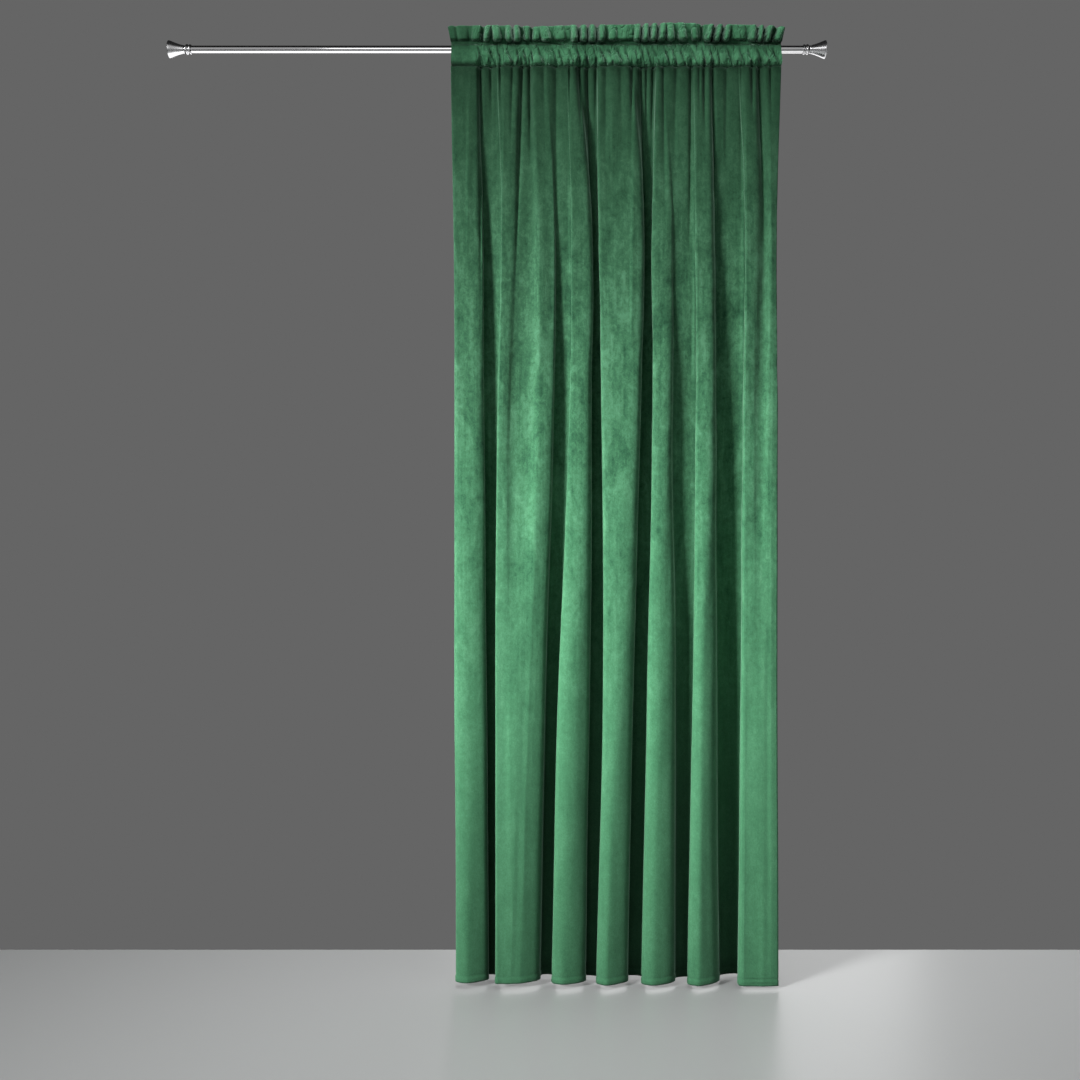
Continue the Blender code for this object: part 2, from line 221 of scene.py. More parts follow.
# Each row is one upright pleat of the frill: its X at the seam, how far its top leans to the right, its
# half width, and how far it stands out, where 1 is a full pleat.
PLEATS = (
    Pleat(-425, 0, 21.5, 0.30),
    Pleat(-399, -2, 15.5, 0.35),
    Pleat(-366, 4, 14, 0.55),
    Pleat(-341, 9, 8, 0.95),
    Pleat(-308, -8, 12.5, 1.00),
    Pleat(-277, -4, 11, 1.05),
    Pleat(-258, -3, 9.5, 1.10),
    Pleat(-232, 0, 8, 0.55),
    Pleat(-210, 3, 12.5, 0.55),
    Pleat(-180, -11, 14, 1.00),
    Pleat(-144, -6, 15.5, 0.50),
    Pleat(-108, -4, 9.5, 1.10),
    Pleat(-86, 2, 9.5, 1.05),
    Pleat(-62, -2, 9.5, 1.15),
    Pleat(-39, 3, 9.5, 1.05),
    Pleat(-10, 0, 14, 0.75),
    Pleat(22, 0, 24.5, 0.45),
    Pleat(53, 4, 9.5, 1.10),
    Pleat(74, 4, 9.5, 1.15),
    Pleat(94, 5, 9.5, 1.10),
    Pleat(115, 8, 11, 0.95),
    Pleat(143, -4, 11, 1.05),
    Pleat(174, -7, 12.5, 1.10),
    Pleat(207, -8, 9.5, 0.70),
    Pleat(234, 14, 9.5, 1.15),
    Pleat(257, 14, 9.5, 1.15),
    Pleat(281, 12, 9.5, 1.05),
    Pleat(318, 0, 21.5, 0.45),
    Pleat(352, 8, 12.5, 0.90),
    Pleat(370, 9, 8, 1.10),
    Pleat(388, 10, 9.5, 1.10),
    Pleat(413, 16, 12.5, 0.75),
    Pleat(436, 6, 11, 0.60),
)

Pucker = namedtuple("Pucker", "top low height width")

# Each row is one slanting pucker of the rod pocket, a sharp crease between two pillows of cloth: its X at
# the upper and at the lower seam, how deep it sinks and how wide its sides are.
PUCKERS = (
    Pucker(-408, -400, 1.2, 16),
    Pucker(-363, -345, 4.2, 8),
    Pucker(-336, -312, 4.5, 9),
    Pucker(-313, -297, 3.6, 5),
    Pucker(-290, -268, 4.2, 6),
    Pucker(-262, -252, 3.5, 5),
    Pucker(-246, -232, 3.8, 6),
    Pucker(-224, -216, 3.4, 4),
    Pucker(-208, -184, 4.6, 11),
    Pucker(-170, -152, 3.0, 6),
    Pucker(-154, -138, 4.2, 7),
    Pucker(-128, -108, 4.4, 7),
    Pucker(-106, -92, 3.8, 5),
    Pucker(-88, -70, 3.8, 5),
    Pucker(-62, -48, 3.2, 4),
    Pucker(-46, -24, 4.6, 8),
    Pucker(-22, -8, 3.6, 5),
    Pucker(-2, 20, 4.6, 9),
    Pucker(20, 36, 4.2, 7),
    Pucker(46, 60, 3.8, 5),
    Pucker(64, 76, 3.6, 4),
    Pucker(78, 92, 4.0, 5),
    Pucker(92, 114, 4.6, 7),
    Pucker(124, 140, 4.4, 6),
    Pucker(144, 158, 3.4, 5),
    Pucker(163, 180, 4.2, 6),
    Pucker(190, 212, 4.6, 8),
    Pucker(222, 232, 3.8, 5),
    Pucker(244, 252, 3.8, 5),
    Pucker(262, 270, 3.0, 4),
    Pucker(286, 304, 4.4, 8),
    Pucker(318, 336, 4.6, 8),
    Pucker(342, 352, 3.4, 5),
    Pucker(364, 382, 4.4, 6),
    Pucker(388, 400, 3.4, 5),
    Pucker(404, 424, 4.6, 8),
)

# X of the small loops that the pocket makes over its tightest tucks, just above the lower seam.
LOOPS = (-256, -178, -104, -85, -69, -9, 56, 84, 105, 180, 230, 248, 316, 352, 363, 396)
LOOP_WIDTH = 5.0
LOOP_OUT = 8.0
EYE_IN = 14.0

# Share of the way down the pocket at which a loop and its eye lie, and their reach from there.
LOOP_PLACE = (0.80, 0.10)
EYE_PLACE = (0.93, 0.06)

PLEAT_TAPER = 0.15
PUCKER_SIDE = 0.4
PUCKER_TOP = 0.15
PUCKER_SWELL = 2.6
BACK_PUCKER = 0.5
SEAM_SET = 7.0

# Shares of the way down the pocket between which its puckers deepen and it runs in to the lower seam.
PUCKER_REACH = (0.15, 0.5)
SEAM_REACH = (0.55, 1.0)

# The frill's upper edge, from left to right: X, and how far above or below FRILL_TOP it runs.
RISE_X = (-435, -424, -250, -212, -110, 20, 140, 190, 235, 345, 392, 423, 440)
RISE = (-12, -6, -6, -9, -5, -4, 1, 1, -3, -4, -6, -8, -14)

# How far the frill's upper corners lean out, over what width at each end, and where that starts, counted
# in such widths from the middle.
FRILL_SPREAD = 9.0
SPREAD_WIDTH = 50.0
SPREAD_START = 7.6

Ring = namedtuple("Ring", "up y out drop")

# The frill's front, from the seam to its upper edge: share of its height, Y, how far a full pleat brings
# it forward there, and how far a full pleat hangs down there.
FRILL_RINGS = (
    Ring(0.00, -5.5, 0.0, 0.0),
    Ring(0.12, -6.0, 0.0, 0.0),
    Ring(0.22, -8.0, 4.0, 6.0),
    Ring(0.26, -12.0, 15.0, 11.0),
    Ring(0.29, -12.5, 23.0, 9.0),
    Ring(0.34, -13.5, 20.0, 8.0),
    Ring(0.50, -14.0, 19.0, 5.0),
    Ring(0.70, -15.0, 13.0, 3.0),
    Ring(0.88, -16.0, 8.0, 2.0),
    Ring(1.00, -16.5, 5.0, 1.0),
)
GAP_REACH = 28.0
GAP_DEPTH = 15.0
GAP_WIDTH = 4.0
GAP_FULL = 5.0
FRILL_THICK = 4.4

# The pocket's front and back, from the upper seam to the lower one: share of the way, front Y, back Y.
POCKET_SHARE = (0.04, 0.14, 0.28, 0.42, 0.58, 0.73, 0.86, 0.96)
POCKET_FRONT = (-10.0, -12.0, -13.5, -17.0, -20.0, -22.0, -22.5, -22.0)
POCKET_BACK = (8.5, 14.0, 15.0, 14.0, 12.0, 9.5, 6.0, 3.0)

# Half the thickness at the lower seam, how far above it the rod's tunnel ends, and Y and Z of its roof.
SEAM_HALF = 1.0
TUNNEL_FOOT = 4.0
TUNNEL_ROOF = ((-8.0, 7.5), (0.0, 10.7), (8.0, 8.0))

Band = namedtuple("Band", "start stop pitch")

# Distances down between which the panel's rows of points stand one pitch apart.
ROW_BANDS = (
    Band(47.0, 160.0, 8.0),
    Band(160.0, 620.0, 14.0),
    Band(620.0, 1500.0, 30.0),
    Band(1500.0, 2394.0, 45.0),
    Band(2394.0, HEM_DOWN, 4.0),
)
PANEL_TOP_PITCH = 2.4
PANEL_HEM_PITCH = 7.0
HEADING_PITCH = 1.7
SECTION_SAMPLES = 6000
SKIN_STEPS = 3
LINING_STEPS = 2
RIM_ANGLE = 1.2

ROD_RADIUS = 9.5
ROD_EDGE = 0.6
TURNED_SIDES = 72
TURNED_ANGLE = 0.6
SAME_PLACE = 1e-6

Pattern = namedtuple("Pattern", "stretch scale detail roughness distortion")

# Noises of the pile and of the metal, on coordinates that are stretched first.
CRUSH = Pattern((1, 1, 0.45), 20, 8, 0.65, 0.8)
MARKS = Pattern((1, 1, 0.8), 85, 5, 0.7, 0.5)
STREAKS = Pattern((1, 1, 0.03), 120, 4, 0.6, 0)
GRAIN = Pattern((1, 1, 0.8), 300, 2, 0.7, 0)
CRUMPLE = Pattern((1, 1, 0.45), 65, 1, 0.5, 0.6)
POLISH = Pattern((0.03, 1, 1), 900, 3, 0.5, 0)

# Shares of the three coarse noises in the crush marks, and the middle value of their sum.
CRUSH_SHARE = 1.5
MARKS_SHARE = 1.1
STREAKS_SHARE = 0.5
CRUSH_MIDDLE = 1.55

Fade = namedtuple("Fade", "low high start stop")

# Heights between which the crush marks fade towards the hem and towards the heading, and between which
# the painted shade darkens the colour towards the hem, each with its shares at the lower and at the upper
# height.
MARKS_LOW = Fade(-1.9, -0.9, 0.28, 1.0)
MARKS_TOP = Fade(-0.6, -0.1, 1.0, 0.5)
HEM_SHADE = Fade(-2.42, -1.8, 0.8, 1.0)

# Heights between which the painted shade in creases and the painted shade near the heading change, X
# between which the flat left end's painted shade does, and the noise between which a facet does.
CREASE_SHADE_RUN = (-2.0, -0.7)
TOP_SHADE_RUN = (-1.25, -0.06)
END_RUN = (-0.385, -0.35)
FACET_RUN = (0.0, 0.07)
CREASE_SHADE_REACH = 0.07
CREASE_SHADE_SAMPLES = 8

GRAIN_TONE = 0.4
BASE_TONE = 0.28
VELVET_STOPS = (
    (0.10, (0.016, 0.076, 0.036)),
    (0.48, (0.044, 0.155, 0.076)),
    (0.90, (0.092, 0.262, 0.142)),
)
VELVET_SURFACE = {
    "Roughness": 0.9,
    "Specular IOR Level": 0.15,
    "Sheen Weight": 0.5,
    "Sheen Roughness": 0.38,
    "Sheen Tint": (0.55, 0.92, 0.70, 1.0),
}
CRUSH_RELIEF = 0.9
GRAIN_RELIEF = 0.25
NAP_STRENGTH = 0.6
NAP_HEIGHT = 0.0016

Velvet = namedtuple("Velvet", "name lift top_tone end_tone crease_tone open_air crumple")

# The two velvets, a brighter and a darker copy of one cloth: how bright the cloth is, its own colour and,
# in the heading's brighter copy, painted light; its painted shade at the top and at the left end and in
# creases low down and at the top; how open a place has to be before the crease shade starts to lift and
# before it is gone, and how deep the small facets of gathered cloth are.
PANEL_VELVET = Velvet("green_velvet_painted_shade", 1.03, 0.41, 1.0, (0.08, 0.8), (0.1, 0.75), 0.0)
HEADING_VELVET = Velvet("gathered_velvet_painted_light_and_shade", 1.2, 1.0, 0.6, (0.08, 0.08), (0.22, 0.85), 2.4)

CHROME_COLOUR = (0.72, 0.72, 0.73, 1.0)
POLISH_DEPTH = 0.06
ROD_DULLNESS = 0.06
FITTING_DULLNESS = 0.24

FLOOR_GAP = 8.0
FLOOR_WIDTH = 12.0
FLOOR_DEPTH = 6.0
FLOOR_BACK = 0.25
FLOOR_COLOUR = (0.27, 0.275, 0.275, 1.0)
FLOOR_ROUGHNESS = 0.32

Light = namedtuple("Light", "name place target size power spread")

# A gathered beam from the left with soft fill around it. A spread under 180 degrees gathers a beam.
LIGHTS = (
    Light("key", (-4.96, -4.08, 0.45), (0.0, 0.0, -1.55), (1.44, 1.12), 43, 31),
    Light("window", (-3.4, -1.8, -1.0), (0.0, 0.0, -1.2), (2.0, 2.4), 2.5, 180),
    Light("front", (-0.7, -3.2, 0.2), (0.0, 0.0, -0.9), (1.2, 1.2), 2.5, 80),
    Light("back", (0.6, 3.2, -0.8), (0.0, 0.0, -1.2), (2.4, 2.4), 30, 180),
    Light("side", (3.2, 0.9, -1.0), (0.0, 0.0, -1.2), (1.6, 2.4), 4, 180),
)

# Lights from above that leave no reflection in the metal.
UNSEEN_LIGHTS = (
    Light("above", (-0.6, -0.7, 1.6), (0.0, 0.0, 0.0), (1.0, 0.3), 1.2, 30),
    Light("ceiling", (0.0, -1.0, 4.5), (0.0, -1.0, 0.0), (7.0, 7.0), 150, 50),
)

Shine = namedtuple("Shine", "side x length fore under")

# Long bands of light that show only in the metal, one in front of each bare part of the rod and one under
# it: X of their middle, their length, and their power for each metre of it. Then Y and Z, and the width.
SHINES = (
    Shine("left", -0.95, 1.3, 1.8, 8.0),
    Shine("right", 0.72, 0.6, 1.8, 4.5),
)
FORE_BAND = (-1.2, 0.2)
FORE_WIDTH = 1.4
UNDER_BAND = (0.35, -0.8)
UNDER_WIDTH = 1.6

CAMERA_PLACE = (-0.199, -3.0, -1.284)
CAMERA_LENS = 38.2
CAMERA_SENSOR = 36
SKY_SEEN = 0.13
SKY_LIGHT = 0.016


def at_level(values, down):
    """A smooth curve through a table row's values, read at a distance below the rod."""
    levels, values = np.array(LEVELS), np.array(values, float)
    slopes = np.gradient(values, levels)
    down = min(max(down, levels[0]), levels[-1])
    i = min(int(np.searchsorted(levels, down, side="right")) - 1, len(levels) - 2)
    span = levels[i + 1] - levels[i]
    t = (down - levels[i]) / span
    ease = 3 * t**2 - 2 * t**3
    bend = slopes[i] * (t**3 - 2 * t**2 + t) + slopes[i + 1] * (t**3 - t**2)
    return values[i] + (values[i + 1] - values[i]) * ease + bend * span


def fold_polygon(down):
    """Control points, seen from above, that the cloth's section follows at one height.

    Each fold runs level across its crest, turns back at its right edge, crosses the valley's floor and
    comes forward again under the next fold's left edge, which overhangs that floor by the lap.
    """
    crest_y = at_level(CREST_Y, down)
    share = at_level(LAP_SHARE, down)
    first, last = FOLDS[0], FOLDS[-1]
    points = [(at_level(first.left, down) + LEFT_EDGE_IN, crest_y + LEFT_EDGE_BACK * share)]
    before = LEFT_EDGE_BACK
    for i, fold in enumerate(FOLDS):
        left, right = at_level(fold.left, down), at_level(fold.right, down)
        corner = min(at_level(CORNER, down), CORNER_SHARE * (right - left))
        roll = min(at_level(ROLL, down), ROLL_SHARE * (right - left))
        front = crest_y * fold.crest
        wide = max(right - left - NARROW, 0) / (FULL_WIDTH - NARROW)
        turned = min(max((before - front) / FULL_VALLEY, 0), wide, 1)
        fall, shoulder = turned * at_level(EDGE_FALL, down), right - roll
        points += [(left, front + fall), (left + corner, front + CORNER_FALL * fall)]
        middle = front * (1 - 0.5 * fold.tilt) - turned * at_level(DOME, down)
        points += [(0.5 * (left + corner + shoulder), middle), (shoulder, front * (1 - fold.tilt))]
        if fold is not last:
            back = at_level(fold.valley, down)
            after = at_level(FOLDS[i + 1].left, down)
            inset = min(VALLEY_INSET, INSET_SHARE * (after - right))
            lap = fold.lap * share
            rise = at_level(FLOOR_RISE, down) * (back - front) * fold.rise
            edge_x = right + inset * share
            edge_y = front + (SHOULDER + at_level(EDGE_DROP, down)) * (back - front)
            turn_x = shoulder + TURN_ACROSS * (edge_x - shoulder)
            turn_y = points[-1][1] * (1 - TURN_BACK) + edge_y * TURN_BACK
            points += [(turn_x, turn_y), (edge_x, edge_y)]
            before = back
            foot = right + 2 * inset - fold.under * share
            end = max(after + lap - inset * (1 - share), foot + inset)
            points += [(foot, back + min(rise, 0)), (end, back - max(rise, 0))]
            points.append((after + UNDERCUT * lap, 0.5 * (back - max(rise, 0) + front)))
    points.append((at_level(last.right, down), crest_y + RIGHT_EDGE_BACK * share))
    return np.array(points)


def spline_weights(t):
    """Six times the weights of four neighbouring control points on a uniform cubic B-spline."""
    return (1 - t) ** 3, 3 * t**3 - 6 * t**2 + 4, -3 * t**3 + 3 * t**2 + 3 * t + 1, t**3


def spline(points, places):
    """A uniform cubic B-spline that starts and ends on its first and last control point."""
    padded = np.vstack([2 * points[0] - points[1], points, 2 * points[-1] - points[-2]])
    i = np.clip(places.astype(int), 0, len(points) - 2)
    t = (places - i)[:, None]
    return sum(w * padded[i + k] for k, w in enumerate(spline_weights(t))) / 6


def tuck_depth(x, down):
    """How far the tucks push the cloth back at each X."""
    depth = np.zeros_like(x)
    for tuck in TUCKS:
        share = min(max((down - LEVELS[0]) / tuck.reach, 0), 1)
        centre = tuck.top + (tuck.low - tuck.top) * share
        fade = 1 - (3 * share**2 - 2 * share**3)
        depth += tuck.depth * fade * np.exp(-(np.abs((x - centre) / tuck.width) ** TUCK_POINT))
    return depth


def ridge_height(x, down):
    """How far the thin ridges bring the cloth forward at each X; each is steeper on its left side."""
    height = np.zeros_like(x)
    for ridge in RIDGES:
        share = min(max((down - ridge.start) / (ridge.stop - ridge.start), 0), 1)
        shown = smooth_step(down, ridge.start - RIDGE_FADE, ridge.start + RIDGE_FADE)
        shown *= 1 - smooth_step(down, ridge.stop - 2 * RIDGE_FADE, ridge.stop + RIDGE_FADE)
        across = x - (ridge.top + (ridge.low - ridge.top) * share)
        steep, easy = np.exp(-((across / RIDGE_FACE) ** 2)), np.exp(-np.abs(across) / RIDGE_SLOPE)
        shape = np.where(across < 0, steep, easy)
        height = np.maximum(height, ridge.height * shown * shape)
    return height


def cloth_section(down, places):
    """X and Y of the cloth's middle surface at one height."""
    section = spline(fold_polygon(down), places)
    section[:, 1] += tuck_depth(section[:, 0], down) - TOP_SET_BACK * (1 - at_level(LAP_SHARE, down))
    return section


def column_places(top_pitch, hem_pitch):
    """Places along the section, closer together where it bends under the heading or in the folds."""
    last = len(fold_polygon(LEVELS[0])) - 1
    fine = np.linspace(0, last, SECTION_SAMPLES)
    need = np.zeros(len(fine) - 1)
    for down, pitch in ((LEVELS[0], top_pitch), (LEVELS[-1], hem_pitch)):
        steps = np.diff(spline(fold_polygon(down), fine), axis=0)
        need = np.maximum(need, np.hypot(steps[:, 0], steps[:, 1]) / pitch)
    total = np.concatenate([[0], np.cumsum(need)])
    return np.interp(np.linspace(0, total[-1], int(total[-1]) + 1), total, fine)


def smooth_step(value, low, high):
    """0 below low, 1 above high and an easy curve between."""
    t = np.clip((value - low) / (high - low), 0, 1)
    return t * t * (3 - 2 * t)


def bump(value, centre, width):
    """A rounded bump, 1 at its centre."""
    return np.exp(-(((value - centre) / width) ** 2))


def add_piece(name, points, faces, material, node):
    """Adds a mesh, given in millimetres, that stands for a node of the part."""
    mesh = bpy.data.meshes.new(name)
    mesh.from_pydata((np.asarray(points, float) * MM).tolist(), [], faces)
    mesh.materials.append(material)
    obj = bpy.data.objects.new(name, mesh)
    bpy.context.scene.collection.objects.link(obj)
    mesh.shade_smooth()
    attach(obj, BODY)
    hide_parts(node)
    return obj


def turn_outward(obj):
    """Turns a closed mesh's faces outward."""
    work = bmesh.new()
    work.from_mesh(obj.data)
    bmesh.ops.recalc_face_normals(work, faces=work.faces)
    work.to_mesh(obj.data)
    work.free()


def grid_faces(columns, rows):
    """Quads of a sheet whose points run row by row, facing the room."""
    return [
        (r * columns + c, (r + 1) * columns + c, (r + 1) * columns + c + 1, r * columns + c + 1)
        for r in range(rows - 1)
        for c in range(columns - 1)
    ]


def panel_rows():
    """Distances down at which the panel has a row of points."""
    rows = [np.arange(0, round((b.stop - b.start) / b.pitch)) for b in ROW_BANDS]
    rows = [b.start + (b.stop - b.start) * row / len(row) for b, row in zip(ROW_BANDS, rows)]
    return np.append(np.concatenate(rows), HEM_DOWN)


def soft_waves(along, down):
    """How far the slow unevenness brings the cloth forward at a distance along the section."""
    return sum(w.height * noise.noise(Vector((along / w.across, down / w.down, w.seed))) for w in WAVES)


def hem_relief(x, down):
    """How far the folded hem, its stitch line and its ripples stand forward at each X."""
    above = HEM_DOWN - down
    fold = smooth_step(HEM_FOLD - above, -HEM_STEP, HEM_STEP)
    stitch = -STITCH_IN * bump(above, HEM_FOLD, STITCH_WIDTH)
    ripple = RIPPLE_OUT * np.sin(above * RIPPLE_TURN) * bump(above, *RIPPLE_ABOVE)
    return fold + stitch + ripple * bump(x, *RIPPLE_ALONG)


def build_panel(material):
    """The hanging velvet on its fine mesh."""
    places = column_places(PANEL_TOP_PITCH, PANEL_HEM_PITCH)
    rows = panel_rows()
    points = []
    for down in rows:
        section = cloth_section(down, places)
        steps = np.gradient(section, axis=0)
        normals = np.stack([steps[:, 1], -steps[:, 0]], axis=1)
        normals /= np.hypot(normals[:, 0], normals[:, 1])[:, None]
        along = np.cumsum(np.hypot(steps[:, 0], steps[:, 1]))
        grow = float(smooth_step(down, RELIEF_START, RELIEF_FULL))
        waves = np.array([soft_waves(a, down) for a in along]) * grow
        out = waves + hem_relief(section[:, 0], down)
        section[:, 1] -= ridge_height(section[:, 0], down) * grow
        section = section + normals * out[:, None]
        fall = HEM_FALL * section[:, 0] / HALF_WIDTH * (down - rows[0]) / HEM_DOWN
        points += [(x, y, -down - f) for (x, y), f in zip(section, fall)]
    faces = grid_faces(len(places), len(rows))
    panel = add_piece("velvet_panel", points, faces, material, "curtain_panel")
    thick = panel.modifiers.new("cloth", "SOLIDIFY")
    thick.thickness = CLOTH * MM
    thick.offset = 0
    return panel


def pleat_height(x, up):
    """How far the frill's round pleats stand out at each X, at a share of the frill's height."""
    height = np.zeros_like(x)
    for pleat in PLEATS:
        across = (x - pleat.x - pleat.lean * up) / (pleat.width * (1 - PLEAT_TAPER * up))
        height = np.maximum(height, pleat.height * np.sqrt(np.clip(1 - across**2, 0, 1)))
    return height


def gap_depth(x, up):
    """How far the frill sinks in the gaps between neighbouring pleats."""
    depth = np.zeros_like(x)
    for one, two in zip(PLEATS, PLEATS[1:]):
        if two.x - one.x < GAP_REACH:
            middle = 0.5 * (one.x + two.x + (one.lean + two.lean) * up)
            depth += GAP_DEPTH * min(one.height, two.height) * bump(x, middle, GAP_WIDTH)
    return depth


def pucker_depth(x, share):
    """How far the pocket's creases sink at each X, at a share of the way down the pocket."""
    depth = np.zeros_like(x)
    for pucker in PUCKERS:
        centre = pucker.top + (pucker.low - pucker.top) * share
        shape = np.exp(-np.abs(x - centre) / (PUCKER_SIDE * pucker.width))
        depth = np.maximum(depth, pucker.height * shape)
    return depth


def loop_relief(x, share):
    """The small loops over the tight tucks, with the dark eye under each."""
    relief = np.zeros_like(x)
    for centre in LOOPS:
        relief -= LOOP_OUT * bump(x, centre, LOOP_WIDTH) * bump(share, *LOOP_PLACE)
        relief += EYE_IN * bump(x, centre, 0.5 * LOOP_WIDTH) * bump(share, *EYE_PLACE)
    return relief


def closed_spline(rings, steps):
    """A closed cubic B-spline through rings of control points, each ring an array over the columns."""
    count = len(rings)
    points = []
    for i in range(count):
        four = [rings[(i + k - 1) % count] for k in range(4)]
        for s in range(steps):
            points.append(sum(w * p for w, p in zip(spline_weights(s / steps), four)) / 6)
    return points


def frill_rings(x, top, spread, behind, inset=0.0):
    """Control rings of one side of the frill, from the seam up, moved in by the cloth."""
    rings = []
    for ring in FRILL_RINGS:
        pleat = pleat_height(x, ring.up)
        gap = min(ring.out / GAP_FULL, 1) * gap_depth(x, ring.up)
        y = ring.y - ring.out * pleat + gap + behind + (inset if behind == 0 else -inset)
        z = UPPER_SEAM + ring.up * (top - UPPER_SEAM) - ring.drop * pleat * (behind == 0)
        rings.append(np.stack([x + spread * ring.up, y, z], axis=1))
    return rings


def pocket_rings(x, seam_y, inset):
    """Control rings of the pocket's front and back, from the upper seam down, moved in by the cloth."""
    front, back = [], []
    for share, front_y, back_y in zip(POCKET_SHARE, POCKET_FRONT, POCKET_BACK):
        z = np.full_like(x, UPPER_SEAM + share * (LOWER_SEAM - UPPER_SEAM))
        blend = smooth_step(share, *SEAM_REACH)
        swell = PUCKER_TOP + (PUCKER_SWELL - PUCKER_TOP) * smooth_step(share, *PUCKER_REACH)
        crease = swell * pucker_depth(x, share)
        y = front_y + blend * (seam_y + SEAM_SET) + crease + loop_relief(x, share)
        front.append(np.stack([x, y + inset, z], axis=1))
        y = back_y + blend * seam_y - BACK_PUCKER * crease[::-1]
        back.append(np.stack([x, y - inset, z], axis=1))
    return front, back


def level_ring(x, y, z):
    """A control ring at one height."""
    return np.stack([x, np.broadcast_to(y, x.shape), np.full_like(x, z)], axis=1)


def build_heading(material):
    """Frill and rod pocket on a fine mesh: an outer skin, with the frill's loop and rod's tunnel inside."""
    places = column_places(HEADING_PITCH, np.inf)
    seam = cloth_section(LEVELS[0], places)
    x, seam_y = seam[:, 0], seam[:, 1]
    top = FRILL_TOP + np.interp(x, RISE_X, RISE)
    spread = FRILL_SPREAD * np.sign(x) * np.clip(np.abs(x) / SPREAD_WIDTH - SPREAD_START, 0, 1)
    front, back = pocket_rings(x, seam_y, 0)
    frill_front = frill_rings(x, top, spread, 0)
    frill_back = frill_rings(x, top, spread, FRILL_THICK)
    outer = [level_ring(x, seam_y - SEAM_HALF, LOWER_SEAM)] * 2 + front[::-1] + frill_front
    outer += frill_back[::-1] + back + [level_ring(x, seam_y + SEAM_HALF, LOWER_SEAM)] * 2
    front, back = pocket_rings(x, seam_y, CLOTH)
    inner = [level_ring(x, seam_y, LOWER_SEAM + TUNNEL_FOOT)] + front[-2:0:-1]
    inner += [level_ring(x, y, z) for y, z in TUNNEL_ROOF] + back[1:-1]
    loop = frill_rings(x, top, spread, 0, CLOTH)[2:-1]
    loop += frill_rings(x, top, spread, FRILL_THICK, CLOTH)[-2:1:-1]
    points, faces = [], []
    count = len(x)
    for rings, steps in ((outer, SKIN_STEPS), (inner, LINING_STEPS), (loop, LINING_STEPS)):
        skin = closed_spline(rings, steps)
        base = len(points)
        for ring in skin:
            points += ring.tolist()
        for r in range(len(skin)):
            here, there = base + r * count, base + (r + 1) % len(skin) * count
            faces += [(here + c, here + c + 1, there + c + 1, there + c) for c in range(count - 1)]
    heading = add_piece("velvet_heading", points, faces, material, "heading")
    close_ends(heading)
    return heading


def close_ends(obj):
    """Fills the rim of cloth at the two open ends, between the outer skin and the two tunnels."""
    work = bmesh.new()
    work.from_mesh(obj.data)
    rim = [e for e in work.edges if e.is_boundary]
    for side in (-1, 1):
        edges = [e for e in rim if (e.verts[0].co.x > 0) == (side > 0)]
        bmesh.ops.triangle_fill(work, edges=edges, use_beauty=True)
    bmesh.ops.recalc_face_normals(work, faces=work.faces)
    for face in work.faces:
        face.smooth = True
    work.to_mesh(obj.data)
    work.free()
    obj.data.set_sharp_from_angle(angle=RIM_ANGLE)


def build_turned(name, profile, start, way, material, node):
    """A turned piece on the rod's axis: profile holds distances along it and radii."""
    work = bmesh.new()
    verts = [work.verts.new(((start + way * a) * MM, 0, r * MM)) for a, r in profile]
    edges = [work.edges.new(pair) for pair in zip(verts, verts[1:])]
    bmesh.ops.spin(
        work, geom=verts + edges, cent=(0, 0, 0), axis=(1, 0, 0), angle=2 * np.pi, steps=TURNED_SIDES
    )
    bmesh.ops.remove_doubles(work, verts=work.verts, dist=SAME_PLACE)
    mesh = bpy.data.meshes.new(name)
    work.to_mesh(mesh)
    work.free()
    mesh.materials.append(material)
    obj = bpy.data.objects.new(name, mesh)
    bpy.context.scene.collection.objects.link(obj)
    turn_outward(obj)
    mesh.shade_smooth()
    mesh.set_sharp_from_angle(angle=TURNED_ANGLE)
    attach(obj, BODY)
    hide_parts(node)


COLLAR_PROFILE = (
    (0, 0), (0, 11.2), (0.4, 11.9), (1.2, 12.5), (3.8, 12.5), (4.6, 12.0), (5.2, 10.8), (5.8, 10.5),
    (7.6, 10.5), (8.2, 10.9), (8.8, 12.4), (9.6, 13.0), (12.1, 13.0), (12.9, 12.4), (13.6, 11.0),
    (14.6, 10.3), (16.8, 10.0), (17.0, 9.8), (17.0, 0),
)
FINIAL_PROFILE = (
    (0, 0), (0, 9.0), (0.4, 9.3), (2.0, 10.4), (5.0, 10.9), (8.0, 11.6), (13.0, 13.0), (18.0, 14.6),
    (23.0, 16.3), (28.0, 18.2), (32.0, 19.8), (36.0, 21.4), (38.4, 22.2), (39.5, 22.4), (40.5, 22.3),
    (41.0, 21.8), (41.0, 20.2), (40.6, 19.5), (38.5, 18.6), (36.0, 16.8), (33.5, 12.0), (32.3, 6.0),
    (32.0, 0),
)


def build_metalwork(rod_material, fitting_material):
    """The rod with a ringed collar and a flared finial at each end."""
    low, high = (corner[0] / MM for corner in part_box("rod"))
    length, edge, inside = high - low, ROD_EDGE, ROD_RADIUS - ROD_EDGE
    rod_profile = ((0, 0), (0, inside), (edge, ROD_RADIUS), (length - edge, ROD_RADIUS))
    rod_profile += ((length, inside), (length, 0))
    build_turned("steel_rod", rod_profile, low, 1, rod_material, "rod")
    for side, way in (("left", -1), ("right", 1)):
        for kind, profile in (("collar", COLLAR_PROFILE), ("finial", FINIAL_PROFILE)):
            node = f"{kind}_{side}"
            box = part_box(node)
            start = (box[0][0] if way > 0 else box[1][0]) / MM
            build_turned(f"steel_{node}", profile, start, way, fitting_material, node)


def add_node(tree, kind, **settings):
    """A shader node with the given properties and input values."""
    node = tree.nodes.new(kind)
    for key, value in settings.items():
        if key in node.inputs:
            node.inputs[key].default_value = value
        else:
            setattr(node, key, value)
    return node


def new_material(name):
    """A material with its node tree and its Principled shader."""
    material = bpy.data.materials.new(name)
    material.use_nodes = True
    tree = material.node_tree
    return material, tree, tree.nodes["Principled BSDF"]


